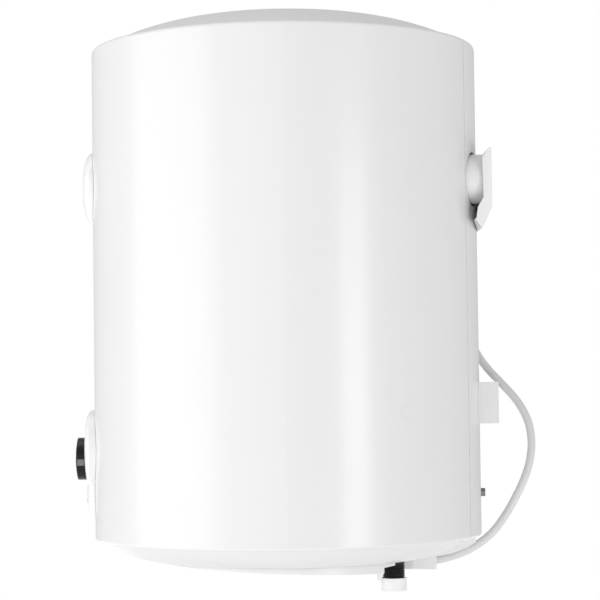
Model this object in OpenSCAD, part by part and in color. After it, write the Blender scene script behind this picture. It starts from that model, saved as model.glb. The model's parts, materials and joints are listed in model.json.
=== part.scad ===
// Wall-hung electric storage water heater, slim round body, about 30 litres.
// Every sub-part is drawn in the tank frame and moved once, by at_hooks().
// Tank frame: origin on the body's axis at the jacket's lower edge, front -Y, wall +Y.
// Part frame: origin midway between the hook slots, on the rear face of the hanger plate.

/* [Body] */
// Outer diameter of the painted jacket
jacket_d = 365; // [350:1:380]
// Height of the painted jacket
jacket_h = 461.4; // [450:0.2:480]
// Thickness of the jacket sheet
jacket_t = 1; // [0.8:0.1:1.2]
// Radius of the bend at the upper and lower edges of the jacket
jacket_roll = 3; // [2:0.5:4]
// Half angle of the separate strip at the rear of the jacket
strip_half_angle = 24; // [22:0.5:26]
// Gap between the jacket's edges and the rear strip
seam_gap = 0.9; // [0.6:0.1:1.2]

/* [Caps] */
// Radius of both end caps, inside the jacket's turned edges
cap_r = 175; // [172:0.5:176]
// Height of the top cap above the jacket's upper edge
top_rise = 30.5; // [25:0.5:34]
// Exponent of the top cap's curve
top_power = 3; // [2.5:0.1:4]
// Radius of the bottom cap's curve, inside its flat rim
bottom_r = 170; // [166:0.5:172]
// Fall of the bottom cap's curve at its axis
bottom_fall = 20.7; // [19:0.1:22]
// Exponent of the bottom cap's curve
bottom_power = 8; // [6:0.1:9]
// Wall thickness of the plastic covers
wall = 2.5; // [2:0.1:3]

/* [Service cover] */
// Radius of the cover under the electrical space
cover_r = 120; // [116:0.5:122]
// Depth of the cover's lower face under the jacket's edge, on the axis
cover_drop = 25.2; // [24.5:0.1:26]
// Slope of the cover's lower face towards the rear, in degrees
cover_slope = 2.3; // [2:0.1:2.6]
// Half width of the tongue that lets the mains lead out
tongue_half_w = 27; // [24:0.5:30]
// Distance of the tongue's end from the axis
tongue_y = 138; // [134:0.5:140]

/* [Tank] */
// Outer diameter of the pressure vessel
tank_d = 300; // [296:1:304]
// Height of the vessel's lowest point above the jacket's lower edge
tank_z = 35; // [34:0.5:38]
// Overall height of the vessel
tank_h = 433; // [425:1:435]
// Depth of each dished end
dish = 35; // [32:1:38]
// Wall of the vessel
tank_t = 2; // [1.8:0.1:2.2]

/* [Water connections] */
// Distance of each connection from the body's middle plane
pipe_x = 50; // [48:0.5:52]
// Distance of the connections behind the body's axis
pipe_y = 97; // [95:0.5:98]
// Outer diameter of the G 1/2 thread
thread_d = 20.955; // [20.8:0.005:21]
// Length of thread left bare above the transport cap
thread_l = 13.5; // [12:0.1:14]
// Height of the bare thread's lower end
thread_end_z = -35.5; // [-36:0.1:-35]
// Outer diameter of the transport caps
pipe_cap_d = 23.5; // [23:0.1:25]
// Height of the transport caps
pipe_cap_h = 12; // [11:0.1:13]

/* [Hanger] */
// Height of the hook slots above the jacket's lower edge
hook_h = 333; // [330:1:336]
// Distance of the hanger plate's rear face behind the body's axis
hook_y = 191.5; // [191:0.1:192]
// Distance between the hook slots
slot_pitch = 96; // [94:1:98]
// Length of a hook slot
slot_l = 20; // [18:0.5:22]
// Height of a hook slot
slot_w = 9; // [8.5:0.1:9.5]
// Overall width of the hanger plate
hanger_w = 150; // [148:1:152]
// Thickness of the hanger's steel sheet
hanger_t = 2.5; // [2:0.1:2.5]
// Outer diameter of the drawn feet behind the hook slots
foot_d = 46; // [44:0.5:48]

/* [Controls] */
// Height of the knob's axis
knob_z = 76; // [74:0.5:78]
// Diameter of the temperature knob
knob_d = 40; // [38:0.5:42]
// Height of the middle of the panel's upper lobe
upper_z = 84; // [83:0.5:85]
// Radius of the panel's upper lobe
upper_r = 38; // [36:0.5:39]
// Height of the middle of the panel's lower lobe
lower_z = 44; // [43:0.5:45]
// Radius of the panel's lower lobe
lower_r = 27; // [26:0.5:28]
// Height of the temperature gauge's axis
gauge_z = 333; // [331:0.5:335]
// Radius of the gauge's housing
gauge_r = 34.7; // [34:0.1:36]

/* [Mains lead] */
// Diameter of the mains lead
lead_d = 7.5; // [7:0.1:8]
// Mean radius of the stored coil
coil_r = 41; // [40:0.5:42]
// Angle of the stored coil round the body from the rear
coil_angle = 40; // [39:0.5:41]
// Height of the stored coil's middle
coil_z = 320; // [318:0.5:322]
// Diameter of the plug's body
plug_d = 37; // [36:0.5:38]

/* [Hidden] */
$fn = 96;
eps = 0.01;
jacket_r = jacket_d / 2;
inner_r = jacket_r - jacket_t;
tank_r = tank_d / 2;
tank_top = tank_z + tank_h;
far = 600;
// Thread of the water connections and the plain parts above and below it
thread_r = thread_d / 2;
thread_top_z = thread_end_z + thread_l;
pipe_r = 9.8;
pipe_bore_r = 7.5;
pipe_tip_r = 9.5;
pipe_tip_z = -44;
// Ring round the opening in the bottom cap, against which the service cover lies
recess_z = -17;
recess_r = cover_r + 1.5;
opening_r = 92;
seal_r = 12;
// Height of the hanger's drawn feet
foot_z = hook_h;
// Flange under the tank
neck_r = 50;
neck_bore_r = 46;
flange_r = 72;
flange_z = 24;
flange_t = 4;
gasket_t = 2;
plate_t = 3;
plate_top = flange_z - flange_t - gasket_t;
plate_low = plate_top - plate_t;
stud_circle_r = 63;
stud_count = 6;
stud_r = 4;
nut_h = 6.5;
// Pieces that stand in the flange plate
element_x = 18;
element_y = -12;
element_r = 4;
element_top = 190;
anode_y = 25;
anode_r = 10.5;
anode_top = 240;
pocket_y = -34;
pocket_r = 6;
pocket_top = 200;
cutout_y = 49;
earth_x = -38;
// Control housing behind the front panel
panel_face = 191.4;
housing_half_w = 24;
housing_high = 106;
shaft_r = 3;
lens_r = 3;
lens_z = 37;
gauge_face = 192.6;
window_r = 21;
// Mains lead
lead_r = lead_d / 2;
gland_z = -24;
gland_y = [116, 141];
gland_r = 5;
coil_half = 2 * lead_r + 0.2;
coil_radial = jacket_r + 1 + coil_half;
tail_x = -(coil_r + lead_r + 0.1);
plug_radial = coil_radial + 6;
plug_top = 270;
// Hand-laid route of the mains lead from its gland to the coil
lead_route = [
    [0, 141, -24], [0, 154, -21], [0, 168, -16], [0, 182, -8], [0, 195, 3], [0, 207, 19],
    [-1, 217, 36], [-3, 225, 52], [-6, 231, 70], [-10, 233, 89], [-16, 230, 108], [-24, 221, 126],
    [-33, 208, 142], [-41, 195, 157], [-49, 185, 173], [-57, 178.5, 191], [-65, 175, 210],
    [-73, 172.5, 229], [-80, 171, 249], [-84.5, 171, 269], [-86, 172, 289], [-86, 172.4, 302],
];
// Route of the lead's tail from the coil down to the plug, in the coil's own frame
tail_route = [
    [tail_x, coil_radial + lead_r, coil_z - 18], [tail_x, coil_radial + lead_r + 0.6, coil_z - 30],
    [tail_x, coil_radial + 5.4, coil_z - 40], [tail_x, plug_radial, plug_top],
];

// ---- helpers -------------------------------------------------------------------------------

module at_hooks() {
    translate([0, -hook_y, -hook_h]) children();
}

// Points of an arc about [cx, cy], from angle a to angle b
function arc(cx, cy, r, a, b, n = 6) =
    [for (i = [0:n]) let (w = a + (b - a) * i / n) [cx + r * cos(w), cy + r * sin(w)]];

// Half profile of a pillow: crown height h over radius r, squareness p
function pillow(r, h, p, n = 10) =
    [for (i = [0:n]) let (w = 90 * i / n) [r * pow(sin(w), 2 / p), h * pow(cos(w), 2 / p)]];

function unit(v) = v / norm(v);

// One point of a smooth curve through b and c
function curve_point(a, b, c, d, u) =
    0.5 * (2 * b + (c - a) * u + (2 * a - 5 * b + 4 * c - d) * u * u
    + (3 * b - a - 3 * c + d) * u * u * u);

// A smooth curve through a route's points, with n steps between neighbours
function smooth(p, n) = [
    for (i = [0:len(p) - 2])
        for (k = [0:n - 1])
            curve_point(p[max(i - 1, 0)], p[i], p[i + 1], p[min(i + 2, len(p) - 1)], k / n),
    p[len(p) - 1],
];

// Corner points of one ring of a tube, square to its direction d
function ring(c, d, r, sides, ref) =
    let (u = unit(cross(d, ref)), v = cross(d, u))
    [for (j = [0:sides - 1]) c + r * (u * cos(360 * j / sides) + v * sin(360 * j / sides))];

// A tube of radius r swept along a route; ref is any direction that the route never takes
module swept_tube(route, r, steps = 3, sides = 8, ref = [1, 0, 0]) {
    line = smooth(route, steps);
    n = len(line);
    points = [
        for (i = [0:n - 1])
            each ring(line[i], unit(line[min(i + 1, n - 1)] - line[max(i - 1, 0)]), r, sides, ref)
    ];
    walls = [
        for (i = [0:n - 2])
            for (j = [0:sides - 1])
                let (k = (j + 1) % sides)
                [i * sides + j, i * sides + k, (i + 1) * sides + k, (i + 1) * sides + j]
    ];
    start = [for (j = [sides - 1:-1:0]) j];
    end = [for (j = [0:sides - 1]) (n - 1) * sides + j];
    polyhedron(points = points, faces = concat(walls, [start], [end]), convexity = 10);
}

// A round bar along Y from y0 to y1
module bar_y(r, y0, y1, x = 0, z = 0) {
    translate([x, y0, z]) rotate([-90, 0, 0]) cylinder(r = r, h = y1 - y0);
}

// A hexagonal nut with a hole
module nut(af, h, hole_r) {
    difference() {
        cylinder(d = af / cos(30), h = h, $fn = 6);
        translate([0, 0, -1]) cylinder(r = hole_r, h = h + 2, $fn = 32);
    }
}

// A wedge that spans the rear of the body, half angle a
module rear_wedge(a) {
    reach = far / cos(a);
    translate([0, 0, -far / 2]) linear_extrude(2 * far)
        polygon([[0, 0], [reach * sin(a), far], [-reach * sin(a), far]]);
}

// ---- jacket and caps -----------------------------------------------------------------------

// Sheet profile with both edges turned inwards
module jacket_sheet() {
    edge_r = jacket_r - jacket_roll;
    lip_r = cap_r + 0.5;
    rotate_extrude($fn = 180) polygon(concat(
        [[lip_r, jacket_t], [lip_r, 0]],
        arc(edge_r, jacket_roll, jacket_roll, -90, 0),
        arc(edge_r, jacket_h - jacket_roll, jacket_roll, 0, 90),
        [[lip_r, jacket_h], [lip_r, jacket_h - jacket_t]],
        arc(edge_r, jacket_h - jacket_roll, jacket_roll - jacket_t, 90, 0),
        arc(edge_r, jacket_roll, jacket_roll - jacket_t, 0, -90)
    ));
}

plug_angle = 35;

module jacket() {
    color("white") difference() {
        jacket_sheet();
        rear_wedge(strip_half_angle);
        bar_y(housing_half_w + 2.5, -far, 0, 0, knob_z);
        bar_y(lower_r - 12, -far, 0, 0, lower_z - 4);
        bar_y(window_r + 3, -far, 0, 0, gauge_z);
        rotate([0, 0, plug_angle]) translate([0, 0, 118.6]) rotate([0, 90, 0])
            cylinder(r = 4.5, h = far);
    }
}

module rear_panel() {
    gap_angle = seam_gap / jacket_r * 180 / PI;
    color("white") difference() {
        intersection() {
            jacket_sheet();
            rear_wedge(strip_half_angle - gap_angle);
        }
        for (x = [-1, 1]) bar_y(foot_d / 2 + 2.5, 100, far, x * slot_pitch / 2, foot_z);
        bar_y(2.2, 100, far, 0, 39.5);
    }
}

module top_cap() {
    function rise(r) = top_rise * (1 - pow(r / cap_r, top_power));
    skirt = 14;
    rim_r = cap_r - 0.5;
    steps = 16;
    color("whitesmoke") rotate_extrude($fn = 180) translate([0, jacket_h]) polygon(concat(
        [for (i = [0:steps]) let (r = rim_r * i / steps) [r, rise(r)]],
        [[rim_r, -skirt], [rim_r - wall, -skirt]],
        [for (i = [steps:-1:0]) let (r = (rim_r - wall) * i / steps) [r, rise(r) - wall]]
    ));
}

// Lower face of the bottom cap from its recess to its flat rim, as [r, z] points
rim_z = -0.5;
bottom_steps = 16;
bottom_curve = [
    for (i = [0:bottom_steps])
        let (r = recess_r + (bottom_r - recess_r) * i / bottom_steps)
        [r, rim_z - bottom_fall * (1 - pow(r / bottom_r, bottom_power))]
];

module bottom_cap() {
    skirt = 14;
    rim_r = cap_r - 0.5;
    color("whitesmoke") difference() {
        rotate_extrude($fn = 180) polygon(concat(
            [[opening_r, recess_z], [recess_r, recess_z]],
            bottom_curve,
            [[rim_r, rim_z], [rim_r, skirt], [rim_r - wall, skirt], [rim_r - wall, rim_z + wall]],
            [for (i = [bottom_steps:-1:1]) bottom_curve[i] + [0, wall]],
            [[recess_r + wall, recess_z + wall], [opening_r, recess_z + wall]]
        ));
        for (x = [-1, 1])
            translate([x * pipe_x, pipe_y, -40]) cylinder(r = seal_r - 1, h = 60);
        cover_screw_places() translate([0, 0, -40]) cylinder(r = 1.9, h = 60, $fn = 32);
        bar_y(gland_r + 0.4, 119, far, 0, gland_z);
    }
}

module cover_screw_places() {
    for (p = [[-103, -20], [103, -20], [0, -104]]) translate(p) children();
}

// The half space above the cover's sloping face, raised by lift
module above_cover_face(lift) {
    translate([0, 0, -cover_drop + lift]) rotate([-cover_slope, 0, 0])
        translate([-far, -far, 0]) cube([2 * far, 2 * far, far]);
}

// Outline of the service cover, drawn in by inset
module cover_outline(inset) {
    difference() {
        circle(r = cover_r - inset, $fn = 180);
        for (x = [-1, 1]) translate([x * pipe_x, pipe_y]) circle(r = 20 + inset);
        for (x = [-1, 1]) translate([x > 0 ? 30 - inset : -200, pipe_y + 4])
            square([170 + inset, 100]);
    }
    translate([-tongue_half_w + inset, 60]) square([2 * (tongue_half_w - inset), tongue_y - 60 - inset]);
}

// The bottom cap's outer shape, filled, for clearing what lies against it
module bottom_cap_filled() {
    lift = 0.2;
    rotate_extrude($fn = 180) polygon(concat(
        [[0, recess_z - lift], [recess_r, recess_z - lift]],
        [for (q = bottom_curve) q - [0, lift]],
        [[cap_r, rim_z - lift], [cap_r, 100], [0, 100]]
    ));
}

// Clearance beside each pipe, where the cover's rim is cut shallower
module pipe_relief() {
    for (x = [pipe_x + 12, -pipe_x - 42]) along_x(x, x + 30) polygon([
        [pipe_y - 10, -60], [pipe_y - 10, -23.6], [pipe_y + 5, -22.2], [pipe_y + 5, -60],
    ]);
}

// Hood over the mains lead, from the tongue's end to the jacket's lower edge
module lead_hood() {
    half = 20;
    difference() {
        along_x(-half, half) polygon([
            [136, -18.9], [141, -19], [154, -16.4], [168, -11.1], [176, -6.4], [176, -0.9],
            [136, -0.9],
        ]);
        bottom_cap_filled();
    }
}

module service_cover() {
    color("white") difference() {
        union() {
            difference() {
                cover_block(0, 0);
                cover_block(wall, wall);
            }
            intersection() {
                cover_block(0, 0);
                cover_screw_places() translate([0, 0, -60]) cylinder(r = 6.5, h = 60, $fn = 48);
            }
            lead_hood();
        }
        bar_y(gland_r + 0.1, gland_y[0] - 1, far, 0, gland_z);
        pipe_relief();
        cover_screw_places() {
            translate([0, 0, -60]) cylinder(r = 1.9, h = 80, $fn = 32);
            translate([0, 0, -60]) cylinder(r = 4.2, h = 60 + recess_z - 2, $fn = 32);
        }
    }
}

module cover_block(inset, lift) {
    difference() {
        intersection() {
            translate([0, 0, -60]) linear_extrude(60 + (inset > 0 ? 40 : 0)) cover_outline(inset);
            above_cover_face(lift);
        }
        if (inset == 0) bottom_cap_filled();
    }
}

module service_cover_screws() {
    head_top = recess_z - 2;
    color("silver") cover_screw_places() difference() {
        union() {
            translate([0, 0, head_top - 2]) cylinder(r = 3.6, h = 2, $fn = 32);
            translate([0, 0, head_top - eps]) cylinder(r = 1.7, h = 8, $fn = 32);
        }
        for (a = [0, 90]) rotate([0, 0, a]) translate([-2.2, -0.4, head_top - 3]) cube([4.4, 0.8, 2]);
    }
}

module foam_plug() {
    color("gainsboro") rotate([0, 0, plug_angle]) translate([0, 0, 118.6]) rotate([0, 90, 0])
        translate([0, 0, inner_r - 5]) cylinder(r = 4.4, h = jacket_t + 5.1);
}

// ---- tank, foam and flange -----------------------------------------------------------------

// The vessel's outer shape, filled, grown by g
module vessel(g) {
    r = tank_r + g;
    d = dish + g;
    low = tank_z + dish;
    high = tank_top - dish;
    rotate_extrude($fn = 180) polygon(concat(
        [for (i = [0:12]) let (w = 90 * i / 12) [r * sin(w), low - d * cos(w)]],
        [for (i = [0:12]) let (w = 90 * i / 12) [r * cos(w), high + d * sin(w)]]
    ));
}

module inner_tank() {
    color("steelblue") difference() {
        union() {
            vessel(0);
            translate([0, 0, flange_z - flange_t]) cylinder(r = neck_r, h = 20);
            translate([0, 0, flange_z - flange_t]) cylinder(r = flange_r, h = flange_t);
        }
        difference() {
            vessel(-tank_t);
            translate([0, 0, 0]) cylinder(r = neck_r, h = tank_z + tank_t);
        }
        cylinder(r = neck_bore_r, h = tank_z + 20);
        for (x = [-1, 1])
            translate([x * pipe_x, pipe_y, 0]) cylinder(r = pipe_r + 0.05, h = 90);
        stud_places() cylinder(r = stud_r + 0.05, h = 60, $fn = 32);
    }
}

module stud_places() {
    for (i = [0:stud_count - 1]) rotate([0, 0, 360 * i / stud_count])
        translate([stud_circle_r, 0, 0]) children();
}

module insulation_foam() {
    low = 16;
    color("khaki") difference() {
        translate([0, 0, low]) cylinder(r = inner_r - 0.3, h = jacket_h - low - 16, $fn = 180);
        vessel(0.3);
        translate([0, 0, low - 1]) cylinder(r = 130, h = 62);
        for (x = [-1, 1]) bar_y(foot_d / 2 + 2.5, 100, far, x * slot_pitch / 2, foot_z);
        translate([-housing_half_w - 1, -far, low - 1])
            cube([2 * housing_half_w + 2, far - 120, housing_high - low + 5]);
        bar_y(window_r + 2.4, -far, -150, 0, gauge_z);
        rotate([0, 0, plug_angle]) translate([0, 0, 118.6]) rotate([0, 90, 0])
            translate([0, 0, inner_r - 6]) cylinder(r = 4.8, h = 20);
        bar_y(2.4, 160, far, 0, 39.5);
    }
}

module flange_gasket() {
    color("dimgray") translate([0, 0, plate_top]) difference() {
        cylinder(r = flange_r - 15, h = gasket_t);
        translate([0, 0, -1]) cylinder(r = neck_bore_r, h = gasket_t + 2);
    }
}

module flange_plate() {
    color("silver") translate([0, 0, plate_low]) difference() {
        cylinder(r = flange_r, h = plate_t);
        translate([0, 0, -1]) {
            stud_places() cylinder(r = stud_r + 0.3, h = plate_t + 2, $fn = 32);
            for (x = [-1, 1]) translate([x * element_x, element_y, 0])
                cylinder(r = element_r + 2, h = plate_t + 2);
            translate([0, anode_y, 0]) cylinder(r = 3.05, h = plate_t + 2, $fn = 32);
            translate([0, pocket_y, 0]) cylinder(r = pocket_r + 0.05, h = plate_t + 2);
            translate([earth_x, 0, 0]) cylinder(r = 2.5, h = plate_t + 2, $fn = 32);
        }
    }
}

module flange_studs() {
    color("silver") stud_places() translate([0, 0, plate_low - nut_h - 3])
        cylinder(r = stud_r, h = flange_z - plate_low + nut_h + 3, $fn = 32);
}

module flange_nuts() {
    color("silver") stud_places() translate([0, 0, plate_low - nut_h]) nut(13, nut_h, stud_r);
}

// ---- what stands in the flange -------------------------------------------------------------

module heating_element() {
    color("tan") translate([0, element_y, 0]) {
        for (x = [-1, 1]) translate([x * element_x, 0, plate_low - 6]) {
            cylinder(r = element_r, h = element_top - plate_low + 6, $fn = 48);
            translate([0, 0, -7]) cylinder(r = 1.6, h = 7, $fn = 32);
        }
        translate([0, 0, element_top]) rotate([90, 0, 0]) intersection() {
            rotate_extrude($fn = 96) translate([element_x, 0]) circle(r = element_r, $fn = 48);
            translate([-50, 0, -50]) cube([100, 100, 100]);
        }
    }
}

module element_bushes() {
    color("goldenrod") for (x = [-1, 1]) translate([x * element_x, element_y, plate_low - 4])
        difference() {
            union() {
                cylinder(r = element_r + 2, h = plate_t + 6);
                cylinder(d = 16, h = 4, $fn = 6);
            }
            translate([0, 0, -1]) cylinder(r = element_r, h = plate_t + 10, $fn = 48);
        }
}

module anode_rod() {
    color("darkgray") translate([0, anode_y, 0]) {
        translate([0, 0, plate_top]) cylinder(r = anode_r, h = anode_top - plate_top);
        translate([0, 0, plate_low - 8]) cylinder(r = 3, h = plate_t + 8 + eps, $fn = 32);
    }
}

module anode_nut() {
    color("silver") translate([0, anode_y, plate_low - 5]) nut(10, 5, 3);
}

module sensor_pocket() {
    color("lightsteelblue") translate([0, pocket_y, plate_low - 2]) difference() {
        cylinder(r = pocket_r, h = pocket_top - plate_low + 2);
        translate([0, 0, -1]) cylinder(r = pocket_r - 1, h = pocket_top - plate_low + 1);
    }
}

module safety_cutout() {
    color("black") translate([0, cutout_y, plate_low]) {
        translate([0, 0, -3]) cylinder(r = 10, h = 3);
        translate([0, 0, -12]) cylinder(r = 8, h = 9 + eps);
        for (x = [-1, 1]) translate([x * 5 - 0.4, -3, -19]) cube([0.8, 6, 7 + eps]);
    }
}

module earth_stud() {
    color("silver") translate([earth_x, 0, plate_low - 12]) cylinder(r = 2.5, h = 15, $fn = 32);
    color("silver") translate([earth_x, 0, plate_low - 4]) nut(8, 4, 2.5);
}

block_y = 97;

module terminal_block() {
    color("ivory") translate([-22, block_y, recess_z + wall]) difference() {
        cube([44, 17, 14]);
        for (i = [0:3]) translate([6.5 + i * 10.4, 0, 5]) {
            rotate([-90, 0, 0]) translate([0, 0, -1]) cylinder(r = 2.2, h = 6, $fn = 32);
            translate([0, 8.5, 4]) cylinder(r = 2.6, h = 20, $fn = 32);
        }
    }
}

// ---- internal wires ------------------------------------------------------------------------

module mains_leads() {
    color("saddlebrown") for (i = [-1, 0, 1]) swept_tube([
        [i * 3.2, gland_y[0] - 0.2, gland_z], [i * 3.4, 106, gland_z], [i * 5, 93, -23],
        [i * 7, 85, -15], [i * 9, 86, -8], [i * 10.4 - 5.2, block_y - 0.2, -9.5],
    ], 1.3, 2);
}

module internal_wiring() {
    color("firebrick") {
        swept_tube([
            [15.7, 96.6, -9.5], [17, 84, -9], [25, 60, -9], [28, 30, -9], [25, 5, -8],
            [element_x, element_y, plate_low - 14],
        ], 1.2, 3, 8);
        swept_tube([
            [-5, cutout_y, plate_low - 20.2], [-12, 32, -10], [-20, 8, -8],
            [-element_x, element_y, plate_low - 14],
        ], 1.2, 3, 8);
        for (x = [-1, 1]) swept_tube([
            [x * 12, -163, 57], [x * 12, -166, 40], [x * 12, -160, 10], [x * 11, -130, -6],
            [x * 10, -90, -9], [x * 9, -70, -9],
        ], 1.2, 3, 8);
    }
}

module thermostat_body() {
    color("dimgray") difference() {
        union() {
            translate([-18, -183, knob_z - 18]) cube([36, 27, 36]);
            bar_y(7, -187, -183 + eps, 0, knob_z);
        }
        bar_y(shaft_r + 0.05, -200, -175, 0, knob_z);
    }
}

bulb_low = 26;

module thermostat_capillary() {
    color("peru") swept_tube([
        [0, -165, knob_z - 18.2], [0, -167, 45], [0, -164, 20], [0, -152, 2], [0, -110, -7],
        [0, -70, -9], [0, -50, -9], [0, -39, -5], [0, pocket_y, 6], [0, pocket_y, bulb_low - 0.1],
    ], 1, 3);
}

module thermostat_bulb() {
    color("peru") translate([0, pocket_y, bulb_low]) cylinder(r = 3.2, h = 110, $fn = 32);
}

// ---- water connections ---------------------------------------------------------------------

module water_pipe(top) {
    difference() {
        union() {
            translate([0, 0, thread_top_z - eps]) cylinder(r = pipe_r, h = top - thread_top_z + eps);
            translate([0, 0, thread_end_z]) cylinder(r = thread_r, h = thread_l);
            translate([0, 0, pipe_tip_z]) cylinder(r = pipe_tip_r, h = thread_end_z - pipe_tip_z + eps);
        }
        translate([0, 0, pipe_tip_z - 1]) cylinder(r = pipe_bore_r, h = top + 80);
    }
}

module cold_inlet_pipe() {
    color("dimgray") translate([pipe_x, pipe_y, 0]) water_pipe(62);
}

module hot_outlet_pipe() {
    color("dimgray") translate([-pipe_x, pipe_y, 0]) water_pipe(430);
}

module inlet_diffuser() {
    color("whitesmoke") translate([pipe_x, pipe_y, 54]) difference() {
        cylinder(r = 12, h = 26);
        translate([0, 0, -1]) cylinder(r = pipe_r, h = 24);
        for (a = [0, 60, 120]) rotate([0, 0, a]) translate([-20, -2, 12]) cube([40, 4, 8]);
    }
}

module pipe_seals() {
    color("black") for (x = [-1, 1]) translate([x * pipe_x, pipe_y, 0]) difference() {
        union() {
            translate([0, 0, recess_z - 3]) cylinder(r = seal_r, h = 3);
            translate([0, 0, recess_z - eps]) cylinder(r = seal_r - 1.05, h = wall + 2);
        }
        translate([0, 0, -40]) cylinder(r = pipe_r, h = 60);
    }
}

module pipe_cap() {
    low = thread_end_z - 0.1 - pipe_cap_h;
    chamfer = 0.8;
    r = pipe_cap_d / 2;
    bore = pipe_tip_r + 0.3;
    rotate_extrude() polygon([
        [0, low], [r - chamfer, low], [r, low + chamfer], [r, low + pipe_cap_h],
        [bore, low + pipe_cap_h], [bore, low + 3], [0, low + 3],
    ]);
}

module cold_pipe_cap() {
    color("white") translate([pipe_x, pipe_y, 0]) pipe_cap();
}

module hot_pipe_cap() {
    color("white") translate([-pipe_x, pipe_y, 0]) pipe_cap();
}

// ---- hanger, spacer and rear screw ---------------------------------------------------------

// Side outline of the hanger's sheet: upright plate, sloping lip and its turned-up edge
module hanger_profile() {
    t = hanger_t;
    plate_y = hook_y - t;
    polygon([
        [plate_y, hook_h + 27], [hook_y, hook_h + 27], [hook_y, hook_h - 28], [182.6, 286.2],
        [181.2, 286.2], [175.7, 294.4], [177.8, 295.8], [182, 289.6], [plate_y, hook_h - 26],
    ]);
}

// End tab of the hanger, turned forwards, and the gusset that closes the lip
module hanger_end_profile() {
    plate_y = hook_y - hanger_t + eps;
    polygon([
        [plate_y, hook_h + 27], [183, hook_h + 18], [183.6, hook_h - 19], [178.2, hook_h - 28],
        [176.9, 295.4], [182, 289.6], [plate_y, hook_h - 26],
    ]);
}

module along_x(x0, x1) {
    translate([x0, 0, 0]) rotate([90, 0, 90]) linear_extrude(x1 - x0) children();
}

module hanger_bracket() {
    half = hanger_w / 2;
    plate_y = hook_y - hanger_t;
    color("white") difference() {
        union() {
            difference() {
                union() {
                    along_x(-half, half) hanger_profile();
                    along_x(half - hanger_t, half) hanger_end_profile();
                    along_x(-half, -half + hanger_t) hanger_end_profile();
                }
                translate([0, 0, hook_h - 60]) cylinder(r = jacket_r + 1, h = 120, $fn = 180);
            }
            for (x = [-1, 1]) bar_y(foot_d / 2, 100, plate_y + eps, x * slot_pitch / 2, foot_z);
        }
        for (x = [-1, 1]) bar_y(foot_d / 2 - hanger_t, 90, plate_y, x * slot_pitch / 2, foot_z);
        translate([0, 0, hook_h - 60]) cylinder(r = tank_r + 0.1, h = 120, $fn = 180);
        for (x = [-1, 1]) translate([x * slot_pitch / 2, 0, hook_h]) hook_slot();
        translate([-half - 1, 186.4, coil_z - 4]) cube([hanger_t + 2, 2.4, 8]);
    }
}

module hook_slot() {
    run = slot_l - slot_w;
    for (x = [-1, 1]) bar_y(slot_w / 2, hook_y - 10, hook_y + 10, x * run / 2);
    translate([-run / 2, hook_y - 10, -slot_w / 2]) cube([run, 20, slot_w]);
}

spacer_z = [105.2, 144];
spacer_y = 199;

// Outline of the spacer seen from above, with stepped sides, drawn in by inset
module spacer_outline(inset) {
    half = 32 - inset;
    polygon([
        [-half, 150], [-half, 190.5 - inset / 2], [3 - half, 192.5 - inset / 2],
        [3 - half, 196.5 - inset], [6 - half, spacer_y - inset], [half - 6, spacer_y - inset],
        [half - 3, 196.5 - inset], [half - 3, 192.5 - inset / 2], [half, 190.5 - inset / 2],
        [half, 150],
    ]);
}

module wall_spacer() {
    t = 2.2;
    height = spacer_z[1] - spacer_z[0];
    color("white") translate([0, 0, spacer_z[0]]) difference() {
        union() {
            linear_extrude(height) difference() {
                spacer_outline(0);
                spacer_outline(t);
            }
            translate([0, 0, height / 2 - 1]) linear_extrude(t) spacer_outline(t / 2);
        }
        translate([0, 0, -1]) cylinder(r = jacket_r + 0.05, h = height + 2, $fn = 180);
    }
}

module rear_screw() {
    color("dimgray") {
        bar_y(3.9, jacket_r, 187, 0, 39.5);
        bar_y(2, 168, jacket_r + eps, 0, 39.5);
    }
}

// ---- controls ------------------------------------------------------------------------------

// A round pillow that faces the front: crown at y = -face, edge falling by drop
module front_pillow(r, face, drop, p, z, base) {
    translate([0, 0, z]) rotate([90, 0, 0]) rotate_extrude() polygon(concat(
        [[0, base]],
        [for (q = pillow(r, drop, p)) [q[0], face - drop + q[1]]],
        [[r, base]]
    ));
}

module panel_shape(inset) {
    front_pillow(upper_r - inset, panel_face - inset, 9, 3.7, upper_z, 160);
    front_pillow(lower_r - inset, panel_face - 0.9 - inset, 9, 2.1, lower_z, 160);
}

module control_panel() {
    color("white") difference() {
        panel_shape(0);
        panel_shape(2);
        translate([0, 0, -10]) cylinder(r = jacket_r + 0.15, h = 200, $fn = 180);
        bar_y(shaft_r + 1, -far, 0, 0, knob_z);
        bar_y(lens_r, -far, 0, 0, lens_z);
    }
}

module indicator_lens() {
    color("orangered") bar_y(lens_r - 0.05, -190.6, -187.2, 0, lens_z);
}

module indicator_lamp() {
    color("ivory") bar_y(3.4, -187, -172, 0, lens_z);
}

module knob_shaft() {
    color("silver") bar_y(shaft_r, -197.5, -176, 0, knob_z);
}

knob_back = 191.7;
mark_angle = -11.5;

module control_knob() {
    r = knob_d / 2;
    edge = 0.8;
    color("black") difference() {
        translate([0, 0, knob_z]) rotate([90, 0, 0]) rotate_extrude() polygon(concat(
            [[0, knob_back]],
            [[r, knob_back], [r, 199.2 - edge]],
            arc(r - edge, 199.2 - edge, edge, 10, 80, 3),
            [for (x = [14, 10, 6, 3, 0]) [x, 201 - 1.6 * pow(x / (r - edge), 2)]]
        ));
        bar_y(shaft_r, -197.5, -190, 0, knob_z);
        translate([0, 0, knob_z]) rotate([0, -mark_angle, 0])
            translate([r - 0.4, -199, -1.2]) cube([2, 6.5, 2.4]);
    }
}

module gauge_bezel() {
    color("white") difference() {
        front_pillow(gauge_r, gauge_face, 11, 2.2, gauge_z, 160);
        front_pillow(gauge_r - 2, gauge_face - 2, 11, 2.2, gauge_z, 150);
        translate([0, 0, gauge_z - 60]) cylinder(r = jacket_r + 0.15, h = 120, $fn = 180);
        bar_y(window_r, -far, 0, 0, gauge_z);
    }
}

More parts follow.
